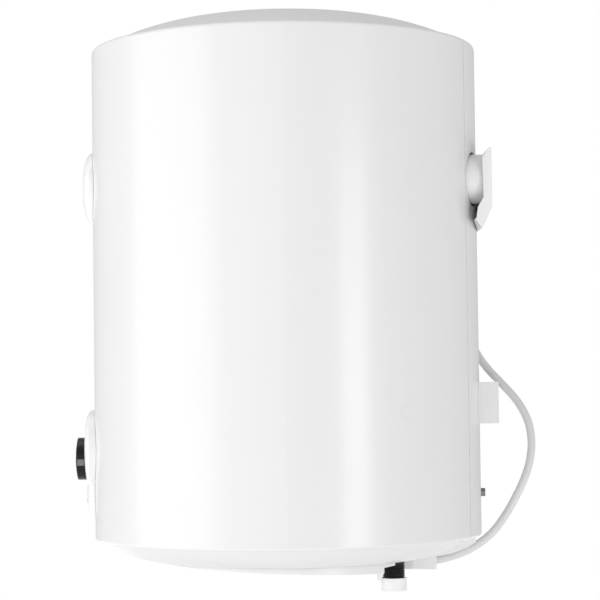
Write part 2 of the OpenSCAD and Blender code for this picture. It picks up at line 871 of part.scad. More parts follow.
module gauge_lens() {
    color("lightcyan") translate([0, 0, gauge_z]) rotate([90, 0, 0]) rotate_extrude() polygon([
        [0, 189.2], [window_r - 0.05, 189.2], [window_r - 0.05, 190.4], [14, 191.2], [7, 191.7],
        [0, 191.9],
    ]);
}

module gauge_body() {
    color("lightgray") difference() {
        bar_y(window_r - 0.2, -186.4, -166, 0, gauge_z);
        bar_y(1.05, -200, -160, 0, gauge_z);
    }
}

module gauge_dial() {
    color("white") difference() {
        bar_y(window_r - 0.3, -187, -186.4, 0, gauge_z);
        bar_y(1.3, -200, -160, 0, gauge_z);
    }
}

module gauge_spindle() {
    color("silver") bar_y(1, -188.9, -170, 0, gauge_z);
}

needle_angle = -45;

module gauge_needle() {
    color("red") translate([0, 0, gauge_z]) rotate([0, needle_angle, 0]) difference() {
        union() {
            bar_y(2.6, -188.5, -187.6);
            translate([-17, -188.4, -0.7]) cube([23, 0.7, 1.4]);
        }
        bar_y(1, -200, -160);
    }
}

module gauge_probe() {
    color("peru") bar_y(1.6, -166, -150.4, 0, gauge_z - 8);
}

// ---- mains lead ----------------------------------------------------------------------------

module cord_gland() {
    flange_end = gland_y[0] + 3;
    color("gainsboro") {
        intersection() {
            bar_y(8, gland_y[0], flange_end, 0, gland_z);
            translate([-10, 0, -27.2]) cube([20, 200, 9.8]);
        }
        rotate([-90, 0, 0]) translate([0, -gland_z, 0]) rotate_extrude($fn = 48) polygon([
            [0, gland_y[0]], [gland_r - 1.2, gland_y[0]], [gland_r, flange_end],
            [gland_r, tongue_y - 1], [lead_r + 0.3, gland_y[1]], [0, gland_y[1]],
        ]);
    }
}

module power_cord() {
    color("gainsboro") swept_tube(lead_route, lead_r, 3, 10);
}

module in_coil_frame() {
    rotate([0, 0, coil_angle]) children();
}

module power_cord_coil() {
    h = coil_half;
    corner = 3;
    color("gainsboro") in_coil_frame() translate([0, coil_radial, coil_z]) rotate([-90, 0, 0])
        rotate_extrude() polygon(concat(
            arc(coil_r + h - corner, h - corner, corner, 0, 90, 4),
            arc(coil_r - h + corner, h - corner, corner, 90, 180, 4),
            arc(coil_r - h + corner, -h + corner, corner, 180, 270, 4),
            arc(coil_r + h - corner, -h + corner, corner, 270, 360, 4)
        ));
}

module power_cord_tail() {
    color("gainsboro") in_coil_frame() swept_tube(tail_route, lead_r, 4, 10);
}

// Inside outline of the tie: round the coil's turns and the front edge of the hanger's tab
module tie_outline(grow) {
    tab_x = -hanger_w / 2 + hanger_t;
    hull() {
        rotate([0, 0, coil_angle]) for (x = [-1, 1], y = [-1, 1])
            translate([coil_r + x * (coil_half - 1), coil_radial + y * (coil_half - 1)])
                circle(r = 1.5 + grow, $fn = 16);
        for (y = [182.6, 187.4]) translate([tab_x + 0.6, y]) circle(r = 0.3 + grow, $fn = 16);
    }
}

module cord_tie() {
    color("black") translate([0, 0, coil_z - 2]) linear_extrude(4) difference() {
        tie_outline(1.1);
        tie_outline(0);
    }
}

module plug_body() {
    r = plug_d / 2;
    color("gainsboro") in_coil_frame() translate([tail_x, plug_radial, 0]) rotate_extrude() polygon([
        [0, plug_top], [4.6, plug_top], [8, plug_top - 26], [13, plug_top - 29], [r - 3, plug_top - 34],
        [r - 1, plug_top - 42], [r - 1.5, plug_top - 56], [r, plug_top - 60], [r, plug_top - 66],
        [0, plug_top - 66],
    ]);
}

module plug_pins() {
    color("silver") in_coil_frame() translate([tail_x, plug_radial, plug_top - 66]) for (x = [-1, 1])
        translate([x * 9.5, 0, -19]) {
            translate([0, 0, 1]) cylinder(r = 2.4, h = 18, $fn = 32);
            cylinder(r1 = 1.6, r2 = 2.4, h = 1, $fn = 32);
        }
}

// ---- all nodes -----------------------------------------------------------------------------

at_hooks() jacket();
at_hooks() rear_panel();
at_hooks() top_cap();
at_hooks() bottom_cap();
at_hooks() service_cover();
at_hooks() service_cover_screws();
at_hooks() inner_tank();
at_hooks() insulation_foam();
at_hooks() foam_plug();
at_hooks() hanger_bracket();
at_hooks() wall_spacer();
at_hooks() rear_screw();
at_hooks() flange_gasket();
at_hooks() flange_plate();
at_hooks() flange_studs();
at_hooks() flange_nuts();
at_hooks() heating_element();
at_hooks() element_bushes();
at_hooks() anode_rod();
at_hooks() anode_nut();
at_hooks() sensor_pocket();
at_hooks() thermostat_body();
at_hooks() thermostat_capillary();
at_hooks() thermostat_bulb();
at_hooks() safety_cutout();
at_hooks() terminal_block();
at_hooks() mains_leads();
at_hooks() internal_wiring();
at_hooks() earth_stud();
at_hooks() cold_inlet_pipe();
at_hooks() hot_outlet_pipe();
at_hooks() inlet_diffuser();
at_hooks() pipe_seals();
at_hooks() cold_pipe_cap();
at_hooks() hot_pipe_cap();
at_hooks() control_panel();
at_hooks() control_knob();
at_hooks() knob_shaft();
at_hooks() indicator_lens();
at_hooks() indicator_lamp();
at_hooks() gauge_bezel();
at_hooks() gauge_body();
at_hooks() gauge_dial();
at_hooks() gauge_lens();
at_hooks() gauge_needle();
at_hooks() gauge_spindle();
at_hooks() gauge_probe();
at_hooks() cord_gland();
at_hooks() power_cord();
at_hooks() power_cord_coil();
at_hooks() power_cord_tail();
at_hooks() cord_tie();
at_hooks() plug_body();
at_hooks() plug_pins();
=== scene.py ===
"""Looks for the tank water heater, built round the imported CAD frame.

Lengths in the tables below are in millimetres in the tank frame: its origin is on the body's
axis at the jacket's lower edge, the front is -Y and the wall is on the +Y side. at() turns
such a point into the row frame, in metres.
"""

import math

import bmesh
import bpy
from mathutils import Matrix, Vector
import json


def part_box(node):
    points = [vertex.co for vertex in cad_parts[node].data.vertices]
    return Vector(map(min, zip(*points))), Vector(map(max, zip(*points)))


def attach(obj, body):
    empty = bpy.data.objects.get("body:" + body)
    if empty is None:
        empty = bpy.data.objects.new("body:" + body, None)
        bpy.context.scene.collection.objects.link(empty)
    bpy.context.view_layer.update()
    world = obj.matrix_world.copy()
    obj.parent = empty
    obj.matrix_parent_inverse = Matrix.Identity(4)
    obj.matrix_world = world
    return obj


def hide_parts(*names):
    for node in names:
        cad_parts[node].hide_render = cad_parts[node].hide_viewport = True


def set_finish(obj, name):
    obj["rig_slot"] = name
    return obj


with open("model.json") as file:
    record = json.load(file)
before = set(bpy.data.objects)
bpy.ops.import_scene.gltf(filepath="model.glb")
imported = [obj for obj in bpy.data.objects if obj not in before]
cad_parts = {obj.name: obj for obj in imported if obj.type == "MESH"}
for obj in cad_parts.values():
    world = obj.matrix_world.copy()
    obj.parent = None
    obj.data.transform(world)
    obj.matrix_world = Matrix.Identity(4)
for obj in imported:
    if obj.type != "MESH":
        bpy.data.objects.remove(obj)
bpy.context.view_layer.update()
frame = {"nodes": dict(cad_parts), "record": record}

MM = 0.001
jacket_low, jacket_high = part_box("jacket")
RADIUS = (jacket_high.x - jacket_low.x) / 2
AXIS_Y = jacket_low.y + RADIUS
BASE_Z = jacket_low.z


def at(x, y, z):
    """A point of the tank frame, in mm, as a point of the row frame, in metres."""
    return Vector((x * MM, AXIS_Y + y * MM, BASE_Z + z * MM))


# ---- camera --------------------------------------------------------------------------------

CAMERA_AT = (1963.1, 13.5, 144.9)
CAMERA_LENS = 123.56
CAMERA_PITCH = 2.319
CAMERA_ROLL = -0.735


def add_camera():
    """The camera stands on the +X side and looks along -X, so the wall is on its right."""
    data = bpy.data.cameras.new("camera")
    data.lens = CAMERA_LENS
    data.sensor_width = 36
    camera = bpy.data.objects.new("camera", data)
    bpy.context.scene.collection.objects.link(camera)
    pitch, roll = math.radians(CAMERA_PITCH), math.radians(CAMERA_ROLL)
    forward = Vector((-math.cos(pitch), 0, math.sin(pitch)))
    level_up = Vector((math.sin(pitch), 0, math.cos(pitch)))
    level_right = Vector((0, 1, 0))
    right = level_right * math.cos(roll) + level_up * math.sin(roll)
    up = level_up * math.cos(roll) - level_right * math.sin(roll)
    camera.matrix_world = Matrix((right, up, -forward)).transposed().to_4x4()
    camera.matrix_world.translation = at(*CAMERA_AT)
    bpy.context.scene.camera = camera


# ---- mains lead ----------------------------------------------------------------------------

LEAD_D = 7.5
LEAD_ROUTE = [
    (0, 141, -24), (0, 154, -21), (0, 168, -16), (0, 182, -8), (0, 195, 3),
    (0, 207, 19), (-1, 217, 36), (-3, 225, 52), (-6, 231, 70), (-10, 233, 89),
    (-16, 230, 108), (-24, 221, 126), (-33, 208, 142), (-41, 195, 157), (-49, 185, 173),
    (-57, 178.5, 191), (-65, 175, 210), (-73, 172.5, 229), (-80, 171, 249),
    (-84.5, 171, 269), (-86, 172, 289), (-86, 172.4, 302),
]
COIL_R = 41
COIL_ANGLE = 40
COIL_Z = 320
COIL_RADIAL = 182.5 + 1 + LEAD_D + 0.2
COIL_STEPS = 24
COIL_TURNS = 3.5
CROSSING = 0.3
TAIL_X = -(COIL_R + LEAD_D / 2 + 0.1)
PLUG_RADIAL = COIL_RADIAL + 6
PLUG_TOP = 270


def from_coil_frame(t, n, z):
    """A point of the coil's own frame: t along the body's tangent, n out from its axis."""
    a = math.radians(COIL_ANGLE)
    return (t * math.cos(a) - n * math.sin(a), t * math.sin(a) + n * math.cos(a), z)


def coil_points():
    """Three and a half turns, two side by side and then two further out, as a tied coil."""
    half = LEAD_D / 2 + 0.1
    lanes = [(half, -half), (-half, -half), (-half, half), (half, half)]
    points = []
    for step in range(1, int(COIL_TURNS * COIL_STEPS)):
        turn, part = divmod(step / COIL_STEPS, 1)
        here = lanes[int(turn)]
        after = lanes[min(int(turn) + 1, 3)]
        blend = max(0.0, (part - (1 - CROSSING)) / CROSSING)
        blend = blend * blend * (3 - 2 * blend)
        out = here[0] + (after[0] - here[0]) * blend
        deep = here[1] + (after[1] - here[1]) * blend
        a = 2 * math.pi * step / COIL_STEPS
        r = COIL_R + out
        points.append(from_coil_frame(r * math.cos(a), COIL_RADIAL + deep, COIL_Z + r * math.sin(a)))
    return points


def tail_points():
    half = LEAD_D / 2
    return [
        from_coil_frame(TAIL_X, COIL_RADIAL + half, COIL_Z - 2),
        from_coil_frame(TAIL_X, COIL_RADIAL + half, COIL_Z - 18),
        from_coil_frame(TAIL_X, COIL_RADIAL + half + 0.6, COIL_Z - 30),
        from_coil_frame(TAIL_X, COIL_RADIAL + 5.4, COIL_Z - 40),
        from_coil_frame(TAIL_X, PLUG_RADIAL, PLUG_TOP),
        from_coil_frame(TAIL_X, PLUG_RADIAL, PLUG_TOP - 4),
    ]


def smooth_line(points, steps):
    """A smooth curve through the points, with steps between neighbours."""
    p = [Vector(q) for q in points]
    line = []
    for i in range(len(p) - 1):
        a, b, c, d = p[max(i - 1, 0)], p[i], p[i + 1], p[min(i + 2, len(p) - 1)]
        for k in range(steps):
            u = k / steps
            line.append(0.5 * (2 * b + (c - a) * u + (2 * a - 5 * b + 4 * c - d) * u * u
                               + (3 * b - a - 3 * c + d) * u * u * u))
    line.append(p[-1])
    return line


def link(obj):
    bpy.context.scene.collection.objects.link(obj)
    return obj


def new_mesh(name, verts, faces):
    mesh = bpy.data.meshes.new(name)
    mesh.from_pydata([tuple(v) for v in verts], [], faces)
    mesh.validate()
    return link(bpy.data.objects.new(name, mesh))


def bridge(lower, upper):
    """Quads between two closed rings of vertex numbers."""
    n = len(lower)
    return [(lower[i], lower[(i + 1) % n], upper[(i + 1) % n], upper[i]) for i in range(n)]


def tube_mesh(points, radii, sides):
    """Vertices and faces of a closed tube whose rings turn as little as they can."""
    verts, rings = [], []
    ahead = [(b - a).normalized() for a, b in zip(points, points[1:])]
    ways = [ahead[0]] + [(a + b).normalized() for a, b in zip(ahead, ahead[1:])] + [ahead[-1]]
    side = ways[0].orthogonal().normalized()
    for centre, way, radius in zip(points, ways, radii):
        side = (side - way * side.dot(way)).normalized()
        other = way.cross(side)
        start = len(verts)
        for k in range(sides):
            a = 2 * math.pi * k / sides
            verts.append(centre + (side * math.cos(a) + other * math.sin(a)) * radius)
        rings.append(list(range(start, start + sides)))
    faces = [f for low, high in zip(rings, rings[1:]) for f in bridge(low, high)]
    return verts, faces + [tuple(reversed(rings[0])), tuple(rings[-1])]


def add_tube(name, points, radius, sides=16):
    return new_mesh(name, *tube_mesh(points, [radius] * len(points), sides))


def add_lead():
    line = [at(*p) for p in smooth_line(LEAD_ROUTE + coil_points() + tail_points(), 4)]
    lead = add_tube("mains_lead", line, LEAD_D / 2 * MM)
    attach(lead, "heater")
    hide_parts("power_cord", "power_cord_coil", "power_cord_tail")
    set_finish(lead, "cord_sleeve")
    return lead


# ---- water connections ---------------------------------------------------------------------

PIPE_X = 50
PIPE_Y = 97
PIPE_R = 9.8
PIPE_TIP_R = 9.5
PIPE_TIP_Z = -44
PIPE_BORE_R = 7.5
THREAD_PITCH = 1.814
THREAD_CREST = 10.4775
THREAD_ROOT = 9.316
THREAD_LOW = -35.5
THREAD_HIGH = -22
THREAD_SIDES = 64
THREAD_ROWS = 16
PIPE_CHAMFER = 0.6
RELIEF = 0.05
COLD_TOP = 62
HOT_TOP = 430


def thread_radius(z, turn):
    """Radius of the G 1/2 thread, which runs out into the plain pipe at its upper end."""
    wave = 0.5 + 0.5 * math.cos(2 * math.pi * (z / THREAD_PITCH - turn))
    cut = THREAD_ROOT + (THREAD_CREST - THREAD_ROOT) * wave
    runout = min(1.0, (THREAD_HIGH - z) / THREAD_PITCH)
    return PIPE_R + (cut - PIPE_R) * runout


def pipe_ring(x, z, radius_at):
    """Points round a pipe at height z; radius_at gives the radius for each part of a turn."""
    ring = []
    for k in range(THREAD_SIDES):
        turn = k / THREAD_SIDES
        a = 2 * math.pi * turn
        r = radius_at(turn)
        ring.append(at(x + r * math.cos(a), PIPE_Y + r * math.sin(a), z))
    return ring


def plain_ring(x, z, radius):
    return pipe_ring(x, z, lambda turn: radius)


def add_pipe(node, x, top):
    """A bored pipe with a true helical thread above its plain tip."""
    rings = [
        plain_ring(x, PIPE_TIP_Z, PIPE_TIP_R - PIPE_CHAMFER),
        plain_ring(x, PIPE_TIP_Z + PIPE_CHAMFER, PIPE_TIP_R),
        plain_ring(x, THREAD_LOW - RELIEF, PIPE_TIP_R),
    ]
    thread_rows = int((THREAD_HIGH - THREAD_LOW) / THREAD_PITCH * THREAD_ROWS)
    for row in range(thread_rows + 1):
        z = THREAD_LOW + (THREAD_HIGH - THREAD_LOW) * row / thread_rows
        rings.append(pipe_ring(x, z, lambda turn: thread_radius(z, turn)))
    rings.append(plain_ring(x, top, PIPE_R))
    rings.append(plain_ring(x, top, PIPE_BORE_R))
    rings.append(plain_ring(x, PIPE_TIP_Z, PIPE_BORE_R))
    verts = [v for ring in rings for v in ring]
    numbers = [list(range(i * THREAD_SIDES, (i + 1) * THREAD_SIDES)) for i in range(len(rings))]
    faces = [f for low, high in zip(numbers, numbers[1:] + numbers[:1]) for f in bridge(low, high)]
    pipe = new_mesh(node + "_threaded", verts, faces)
    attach(pipe, "heater")
    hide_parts(node)
    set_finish(pipe, "pipe_steel")
    return pipe


# ---- printed marks -------------------------------------------------------------------------

# Distance that a mark stands proud of its surface, and its depth below it
INK = 0.06
INK_SINK = 0.25

KNOB_Z = 76
KNOB_R = 20
KNOB_LOW = -236.5
KNOB_HIGH = 33.5
# The knob's front face: a shallow dome, then a cone down to its rounded edge
KNOB_CROWN = 201
KNOB_DOME_FALL = 1.6
KNOB_DOME_R = 19.2
KNOB_CONE = [(14, 200.15), (19.34, 199.19)]

# The pointer's middle and half width in degrees, then its places on the rim and the face; the rim part
# sits where the glossy rim shows a highlight, so it is partly a painted highlight
POINTER_ANGLE = -8.5
POINTER_HALF = 8.5
POINTER_STEPS = 6
POINTER_RIM_Y = (-198.2, -195, -192)
POINTER_FACE_R = (9, 11, 13, 15, 17, 19)
POINTER_FACE_HALF = 1.3

# The panel's two lobes: face, radius, squareness and height of the middle
PANEL_DROP = 9
PANEL_LOBES = [(191.4, 38, 3.7, 84), (190.5, 27, 2.1, 44)]

# The knob's scale: an arc that widens from the second radius to the third, and its ticks
SCALE_ARC_R = (22.6, 22.9, 25.0)
SCALE_ARC_STEPS = 60
SCALE_TICK_R = (26.2, 28.4)
SCALE_TICK_HALF = 1
SCALE_PARTS = 6

# The dial: its ticks are given by length and half width in degrees
GAUGE_Z = 333
DIAL_FACE = 187
DIAL_LOW = -135
DIAL_SWEEP = 270
DIAL_PARTS = 20
TICK_R = 18.6
LONG_TICK = (3.2, 1.5)
SHORT_TICK = (1.8, 0.8)
HOT_FROM = 0.6
HOT_R = (19.0, 20.0)
HOT_STEPS = 40
NUMBERS = ("0", "20", "40", "60", "80", "100")
NUMBER_R = 12.4
NUMBER_SIZE = 4.6
NUMBER_LIFT = 0.03
NUMBER_DEPTH = 0.02


def knob_front(r):
    """Distance of the knob's front face before the axis, at radius r from its centre."""
    (r0, face0), (r1, face1) = KNOB_CONE
    if r <= r0:
        return KNOB_CROWN - KNOB_DOME_FALL * (r / KNOB_DOME_R) ** 2
    return face0 + (face1 - face0) * (r - r0) / (r1 - r0)


def panel_front(x, z):
    """Distance of the control panel's face before the body's axis."""
    def lobe(face, radius, p, mid_z):
        out = min(1.0, math.hypot(x, z - mid_z) / radius)
        return face - PANEL_DROP + PANEL_DROP * (1 - out ** p) ** (1 / p)
    return max(lobe(*values) for values in PANEL_LOBES)


def dial_front(x, z):
    """Distance of the flat dial before the body's axis, the same all over."""
    return DIAL_FACE


def patch(rows, outwards):
    """A thin raised mark: rows of surface points, lifted by the ink and sunk at the back."""
    n = len(rows[0])
    last = (len(rows) - 1) * n
    front = [p + outwards(p) * INK * MM for row in rows for p in row]
    back = [p - outwards(p) * INK_SINK * MM for row in rows for p in row]
    m = len(front)
    faces = []
    for i in range(len(rows) - 1):
        for j in range(n - 1):
            a = i * n + j
            d = a + n
            faces.append((a, a + 1, d + 1, d))
            faces.append((m + d, m + d + 1, m + a + 1, m + a))
    edge = list(range(n))
    edge += [i * n + n - 1 for i in range(1, len(rows))]
    edge += [last + j for j in range(n - 2, -1, -1)]
    edge += [i * n for i in range(len(rows) - 2, 0, -1)]
    for a, b in zip(edge, edge[1:] + edge[:1]):
        faces.append((b, a, m + a, m + b))
    return front + back, faces


def polar(r, angle, mid_z, front):
    """A surface point at radius r and an angle from +X, about a control's centre."""
    a = math.radians(angle)
    x, z = r * math.cos(a), mid_z + r * math.sin(a)
    return at(x, -front(x, z), z)


def to_front(point):
    return Vector((0, -1, 0))


def add_marks(name, patches, body, slot):
    """Joins patches into one piece with all its faces turned outwards."""
    verts, faces = [], []
    for more, links in patches:
        start = len(verts)
        verts += more
        faces += [tuple(start + i for i in f) for f in links]
    marks = new_mesh(name, verts, faces)
    work = bmesh.new()
    work.from_mesh(marks.data)
    bmesh.ops.recalc_face_normals(work, faces=work.faces)
    work.to_mesh(marks.data)
    work.free()
    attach(marks, body)
    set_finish(marks, slot)
    return marks


def sector(low_r, high_r, from_angle, to_angle, mid_z, front, steps=2):
    """A mark between two radii and two angles; high_r may be a pair that changes along it."""
    start_r, end_r = high_r if isinstance(high_r, tuple) else (high_r, high_r)
    rows = []
    for i in range(steps + 1):
        u = i / steps
        angle = from_angle + (to_angle - from_angle) * u
        wide = start_r + (end_r - start_r) * u - low_r
        rows.append([polar(low_r + wide * k / 2, angle, mid_z, front) for k in range(3)])
    return patch(rows, to_front)


def pointer_and_highlight_rim():
    """The pointer's part on the knob's rim: a grey band where the glossy rim catches the light, partly a
    pointer mark and partly a painted highlight.
    """
    rows = []
    for i in range(POINTER_STEPS + 1):
        a = math.radians(POINTER_ANGLE - POINTER_HALF + 2 * POINTER_HALF * i / POINTER_STEPS)
        x = KNOB_R * math.cos(a)
        z = KNOB_Z + KNOB_R * math.sin(a)
        rows.append([at(x, y, z) for y in POINTER_RIM_Y])
    centre = at(0, 0, KNOB_Z)

    def outwards(p):
        return Vector((p.x - centre.x, 0, p.z - centre.z)).normalized()

    return patch(rows, outwards)


def pointer_face():
    """The pointer's part on the knob's front face."""
    a = math.radians(POINTER_ANGLE)
    side = (-math.sin(a) * POINTER_FACE_HALF, math.cos(a) * POINTER_FACE_HALF)
    rows = []
    for r in POINTER_FACE_R:
        x = r * math.cos(a)
        z = KNOB_Z + r * math.sin(a)
        rows.append([at(x + side[0] * k, -knob_front(r), z + side[1] * k) for k in (-1, 0, 1)])
    return patch(rows, to_front)


def add_knob_pointer():
    """A light inlay on the knob's rim and face; the rim part is partly a painted highlight."""
    return add_marks("knob_pointer_and_highlight", [pointer_and_highlight_rim(), pointer_face()], "knob", "dial_print")


def add_knob_scale():
    """A growing arc and plain ticks round the knob, over the knob's own range."""
    start = POINTER_ANGLE - KNOB_LOW
    end = POINTER_ANGLE - KNOB_HIGH
    inner, thin, thick = SCALE_ARC_R
    marks = [sector(inner, (thin, thick), start, end, KNOB_Z, panel_front, SCALE_ARC_STEPS)]
    for i in range(SCALE_PARTS + 1):
        angle = start + (end - start) * i / SCALE_PARTS
        low, high = angle - SCALE_TICK_HALF, angle + SCALE_TICK_HALF
        marks.append(sector(*SCALE_TICK_R, low, high, KNOB_Z, panel_front))
    return add_marks("knob_scale", marks, "heater", "dark_plastic")


def add_dial_ticks():
    """A tick every five degrees on the dial's scale, longer every twenty."""
    ticks = []
    for i in range(DIAL_PARTS + 1):
        angle = DIAL_LOW - DIAL_SWEEP * i / DIAL_PARTS
        length, half = LONG_TICK if i % 4 == 0 else SHORT_TICK
        low, high = angle - half, angle + half
        ticks.append(sector(TICK_R - length, TICK_R, low, high, GAUGE_Z, dial_front))
    return add_marks("dial_ticks", ticks, "heater", "dark_plastic")


def add_hot_zone():
    """A red arc along the hot end of the dial's scale."""
    start = DIAL_LOW - DIAL_SWEEP * HOT_FROM
    end = DIAL_LOW - DIAL_SWEEP
    arc = sector(*HOT_R, start, end, GAUGE_Z, dial_front, HOT_STEPS)
    return add_marks("dial_hot_zone", [arc], "heater", "needle_red")


def add_number(number, x, z):
    """A number in Blender's own font, laid flat on the dial."""
    curve = bpy.data.curves.new("number", "FONT")
    curve.body = number
    curve.size = NUMBER_SIZE * MM
    curve.align_x = "CENTER"
    curve.align_y = "CENTER"
    curve.extrude = NUMBER_DEPTH * MM
    sample = bpy.data.objects.new("number", curve)
    mesh = bpy.data.meshes.new_from_object(sample)
    bpy.data.objects.remove(sample)
    place = at(x, -(DIAL_FACE + NUMBER_LIFT), GAUGE_Z + z)
    mesh.transform(Matrix.Translation(place) @ Matrix.Rotation(math.radians(90), 4, "X"))
    piece = link(bpy.data.objects.new("dial_number_" + number, mesh))
    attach(piece, "heater")
    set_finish(piece, "dark_plastic")
    return piece


def add_dial_numbers():
    pieces = []
    for i, number in enumerate(NUMBERS):
        a = math.radians(DIAL_LOW - DIAL_SWEEP * i / (len(NUMBERS) - 1))
        pieces.append(add_number(number, NUMBER_R * math.cos(a), NUMBER_R * math.sin(a)))
    return pieces


add_camera()
lead = add_lead()
pipes = [
    add_pipe("cold_inlet_pipe", PIPE_X, COLD_TOP),
    add_pipe("hot_outlet_pipe", -PIPE_X, HOT_TOP),
]
marks = [add_knob_pointer(), add_knob_scale(), add_dial_ticks(), add_hot_zone()]
pieces = [lead, *pipes, *marks, *add_dial_numbers()]


# ---- materials -----------------------------------------------------------------------------

# The middle part of a noise's values, which spread() maps
NOISE_BAND = (0.3, 0.7)


class Shader:
    """A Principled material with small helpers to wire procedural detail into it."""

    def __init__(self, name, colour, rough, metal=0.0, coat=0.0, coat_rough=0.08, ior=1.5):
        self.mat = bpy.data.materials.new(name)
        self.mat.use_nodes = True
        self.tree = self.mat.node_tree
        self.bsdf = self.tree.nodes["Principled BSDF"]
        self.colour = (*colour, 1)
        self.rough = rough
        self.set("Base Color", self.colour)
        self.set("Roughness", rough)
        self.set("Metallic", metal)
        self.set("Coat Weight", coat)
        self.set("Coat Roughness", coat_rough)
        self.set("IOR", ior)
        self.place = self.tree.nodes.new("ShaderNodeTexCoord").outputs["Object"]
        self.height = None

    def set(self, socket, value):
        self.bsdf.inputs[socket].default_value = value

    def node(self, kind, **values):
        n = self.tree.nodes.new(kind)
        for k, v in values.items():
            setattr(n, k, v)
        return n

    def join(self, a, b):
        self.tree.links.new(a, b)

    def noise(self, scale, detail, roughness=0.5):
        n = self.node("ShaderNodeTexNoise")
        n.inputs["Scale"].default_value = scale
        n.inputs["Detail"].default_value = detail
        n.inputs["Roughness"].default_value = roughness
        self.join(self.place, n.inputs["Vector"])
        return n.outputs["Fac"]

    def spread(self, value, low, high):
        """value's middle band mapped from low to high."""
        r = self.node("ShaderNodeMapRange")
        r.inputs["From Min"].default_value = NOISE_BAND[0]
        r.inputs["From Max"].default_value = NOISE_BAND[1]
        r.inputs["To Min"].default_value = low
        r.inputs["To Max"].default_value = high
        self.join(value, r.inputs["Value"])
        return r.outputs["Result"]

    def mottle(self, scale, amount):
        """Darkens the colour a little in soft patches."""
        mix = self.node("ShaderNodeMix", data_type="RGBA")
        mix.inputs["A"].default_value = self.colour
        mix.inputs["B"].default_value = (*[c * (1 - amount) for c in self.colour[:3]], 1)
        self.join(self.spread(self.noise(scale, 4, 0.6), 0, 1), mix.inputs["Factor"])
        self.join(mix.outputs["Result"], self.bsdf.inputs["Base Color"])
        return self

    def uneven_gloss(self, scale, amount):
        """Varies the roughness by the amount, in soft patches."""
        value = self.spread(self.noise(scale, 3), self.rough - amount, self.rough + amount)
        self.join(value, self.bsdf.inputs["Roughness"])
        return self

    def bump(self, scale, strength, distance, detail=2.0):
        """Adds fine relief; calls add up."""
        b = self.node("ShaderNodeBump")
        b.inputs["Strength"].default_value = strength
        b.inputs["Distance"].default_value = distance
        self.join(self.noise(scale, detail), b.inputs["Height"])
        if self.height:
            self.join(self.height, b.inputs["Normal"])
        self.height = b.outputs["Normal"]
        self.join(self.height, self.bsdf.inputs["Normal"])
        return self


def white_paint():
    """Powder coat: a faint orange peel under a glossy skin, and slight unevenness in its gloss."""
    s = Shader("white_paint", (0.80, 0.80, 0.803), 0.36, coat=0.5, coat_rough=0.18)
    return s.mottle(9, 0.015).uneven_gloss(14, 0.04).bump(260, 0.06, 0.0006, 3).bump(28, 0.02, 0.002).mat


def bracket_paint():
    s = Shader("bracket_paint", (0.88, 0.88, 0.882), 0.38, coat=0.2, coat_rough=0.2)
    return s.mottle(40, 0.04).uneven_gloss(60, 0.05).bump(420, 0.12, 0.0005, 3).mat


def cap_plastic():
    """Injection moulded, with a very fine eroded texture."""
    s = Shader("cap_plastic", (0.80, 0.80, 0.803), 0.36, coat=0.1, coat_rough=0.2)
    return s.mottle(7, 0.015).uneven_gloss(20, 0.04).bump(900, 0.08, 0.0003).mat


def panel_plastic():
    s = Shader("panel_plastic", (0.9, 0.9, 0.903), 0.26, coat=0.25, coat_rough=0.1)
    return s.mottle(30, 0.01).uneven_gloss(40, 0.03).bump(700, 0.03, 0.0003).mat


def polythene():
    """Soft transport caps: slightly waxy, with moulding ripples."""
    s = Shader("polythene", (0.86, 0.86, 0.86), 0.42)
    s.set("Subsurface Weight", 0.15)
    s.set("Subsurface Radius", (0.004, 0.004, 0.004))
    return s.mottle(90, 0.04).bump(300, 0.12, 0.0004).mat


def black_plastic(name="black_plastic", rough=0.28):
    s = Shader(name, (0.004, 0.004, 0.0044), rough)
    s.set("Specular IOR Level", 0.35)
    return s.mottle(120, 0.3).uneven_gloss(90, 0.06).bump(1400, 0.1, 0.0002).mat


def black_steel():
    """Blackened, oiled thread with rubbed crests."""
    s = Shader("black_steel", (0.034, 0.033, 0.032), 0.42, metal=0.4)
    return s.mottle(500, 0.5).uneven_gloss(400, 0.12).bump(1800, 0.2, 0.0002).mat


def rubber(name, colour, rough=0.7):
    s = Shader(name, colour, rough)
    return s.mottle(200, 0.12).uneven_gloss(150, 0.06).bump(1300, 0.15, 0.0002).mat


def lead_sheath():
    """PVC sheath: softly glossy, with the faint lay of the cores under it."""
    s = Shader("lead_sheath", (0.72, 0.72, 0.723), 0.38, coat=0.08, coat_rough=0.25)
    return s.mottle(60, 0.04).uneven_gloss(80, 0.05).bump(120, 0.12, 0.0006).bump(1500, 0.06, 0.0002).mat


def zinc_steel(name="zinc_steel", colour=(0.62, 0.62, 0.6), rough=0.32):
    s = Shader(name, colour, rough, metal=1.0)
    return s.mottle(260, 0.18).uneven_gloss(220, 0.1).bump(900, 0.12, 0.0002).mat


def enamel():
    s = Shader("enamel", (0.035, 0.07, 0.13), 0.18, coat=0.6, coat_rough=0.06)
    return s.mottle(300, 0.35).bump(160, 0.15, 0.0006).mat


def foam():
    s = Shader("foam", (0.78, 0.66, 0.36), 0.85)
    return s.mottle(220, 0.2).bump(700, 0.8, 0.0012, 5).mat


def plain(name, colour, rough, metal=0.0, scale=300, amount=0.12):
    s = Shader(name, colour, rough, metal=metal)
    return s.mottle(scale, amount).uneven_gloss(scale, 0.05).bump(scale * 4, 0.12, 0.0002).mat


def clear_window():
    s = Shader("clear_window", (0.97, 0.985, 0.99), 0.04, ior=1.49)
    s.set("Transmission Weight", 1.0)
    s.bump(25, 0.02, 0.0005)
    return s.mat


def glowing_lens():
    s = Shader("orange_lens", (0.85, 0.18, 0.03), 0.2, coat=0.5)
    s.set("Transmission Weight", 0.4)
    return s.mottle(700, 0.2).bump(2400, 0.2, 0.0001).mat


